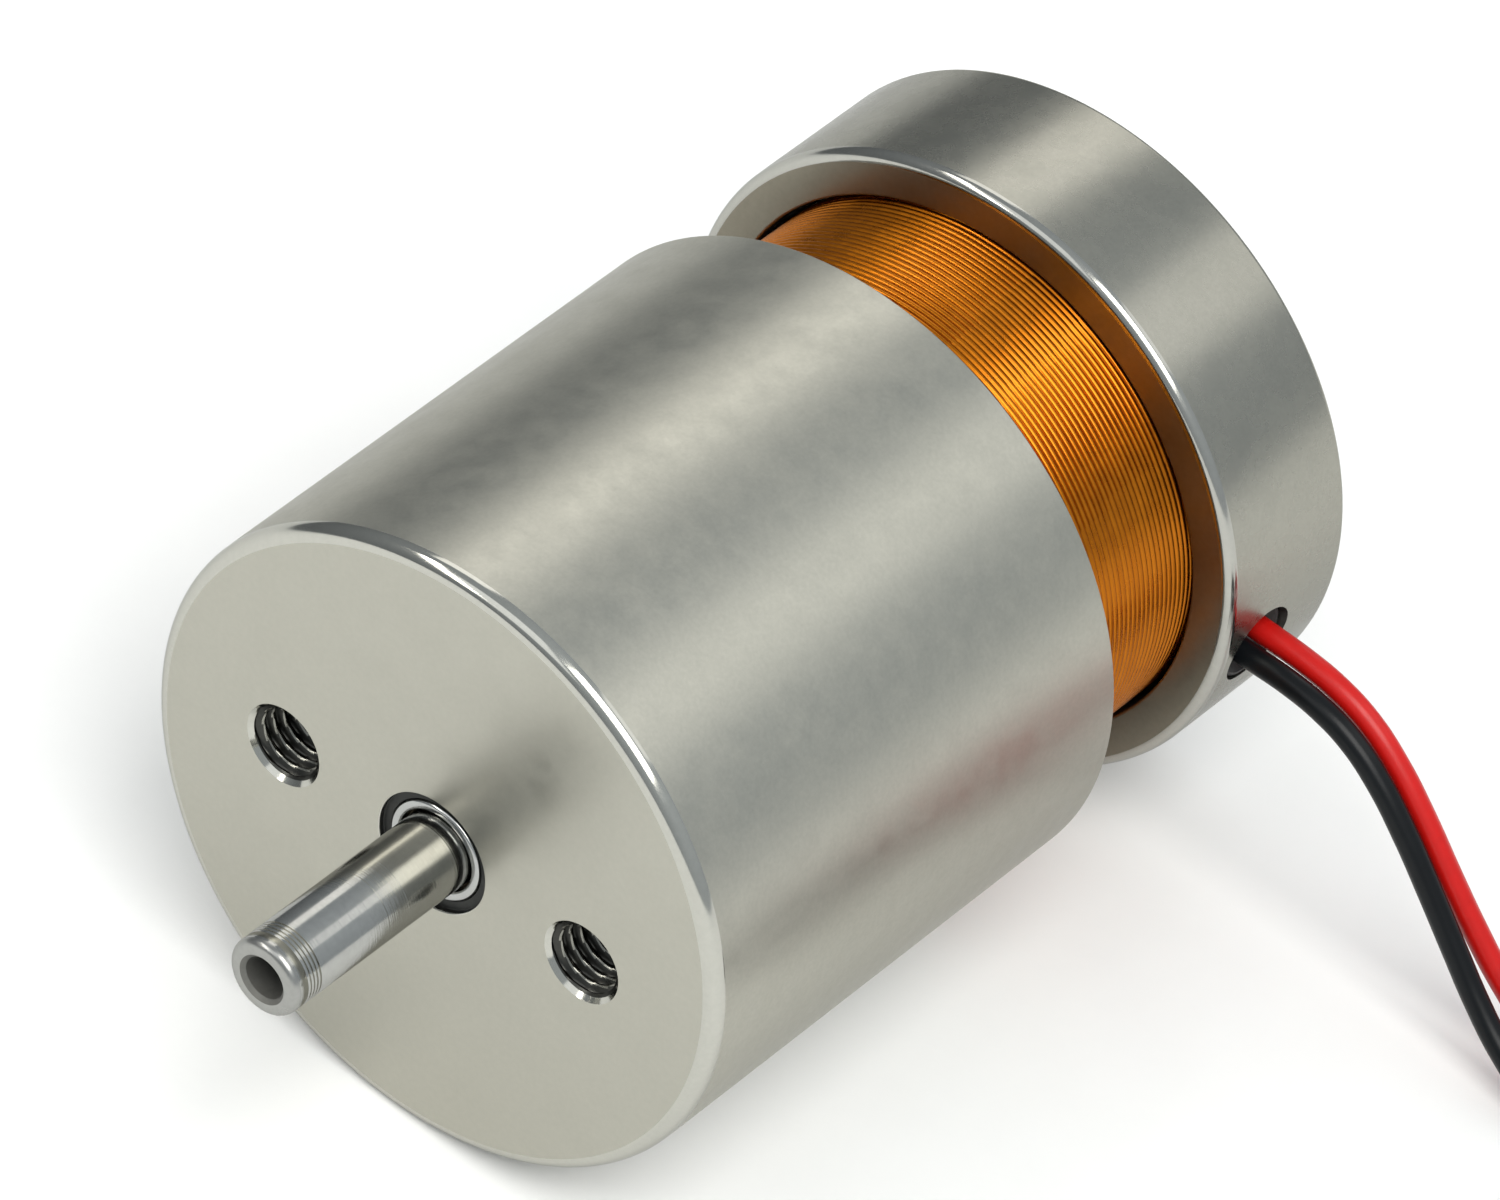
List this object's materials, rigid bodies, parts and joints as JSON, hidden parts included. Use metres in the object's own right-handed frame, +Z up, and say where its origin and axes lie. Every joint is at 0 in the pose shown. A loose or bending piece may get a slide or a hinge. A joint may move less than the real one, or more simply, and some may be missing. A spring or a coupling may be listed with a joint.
{
  "type": "moving-coil linear actuator",
  "caption": "Cylindrical moving-coil linear motor: tapped magnet housing, guided output shaft, and a wound coil assembly in a rear cup with flying leads.",
  "frame": {"origin": "under the middle of the overall length, shaft tip to cup, on the surface that the housing lies on", "axes": "+Y along the shaft axis towards the rear cup, output shaft points to -Y, +Z up, leads leave towards +X"},
  "size_m": [0.1129, 0.1033, 0.0499],
  "materials": {
    "nickel_steel": "satin nickel-plated, turned",
    "nickel_alloy": "satin nickel-plated, turned",
    "ground_steel": "ground, fine turning marks",
    "dark_steel": "oiled black oxide",
    "magnet": "nickel-plated sintered magnet",
    "aluminium": "machined",
    "bronze": "sintered, oil-filled",
    "copper_wire": "enamelled copper wire, glossy",
    "rubber_black": "matt",
    "nylon_black": "matt",
    "tinned_copper": "tinned strands",
    "pvc_red": "smooth PVC insulation",
    "pvc_black": "smooth PVC insulation"
  },
  "bodies": {
    "magnet_housing": {"housing_shell": "nickel_steel", "front_bush_shell": "ground_steel", "front_bush_liner": "bronze", "core_sleeve": "ground_steel", "rear_bush_shell": "ground_steel", "rear_bush_liner": "bronze", "front_magnet": "magnet", "pole_piece": "dark_steel", "rear_magnet": "magnet", "core_end_washer": "aluminium", "core_nut": "ground_steel", "front_bumper": "rubber_black"},
    "coil_assembly": {"output_shaft": "ground_steel", "shaft_clip": "dark_steel", "stop_washer": "rubber_black", "coil_former": "aluminium", "coil_winding": "copper_wire", "rear_cup": "nickel_alloy", "former_screw_1": "dark_steel", "former_screw_2": "dark_steel", "former_screw_3": "dark_steel", "former_screw_4": "dark_steel", "shaft_screw": "dark_steel", "lead_grommet": "rubber_black", "splice_sleeve_red": "pvc_red", "splice_sleeve_black": "pvc_black", "lead_red": "pvc_red", "lead_red_coil": "pvc_red", "lead_red_tie": "nylon_black", "lead_red_tail": "pvc_red", "lead_red_tip": "tinned_copper", "lead_black": "pvc_black", "lead_black_coil": "pvc_black", "lead_black_tie": "nylon_black", "lead_black_tail": "pvc_black", "lead_black_tip": "tinned_copper"}
  },
  "joints": [
    {"name": "coil_slide", "type": "slide", "parent": "magnet_housing", "child": "coil_assembly", "axis": [0, -1, 0], "range_m": [0, 0.0127]}
  ]
}
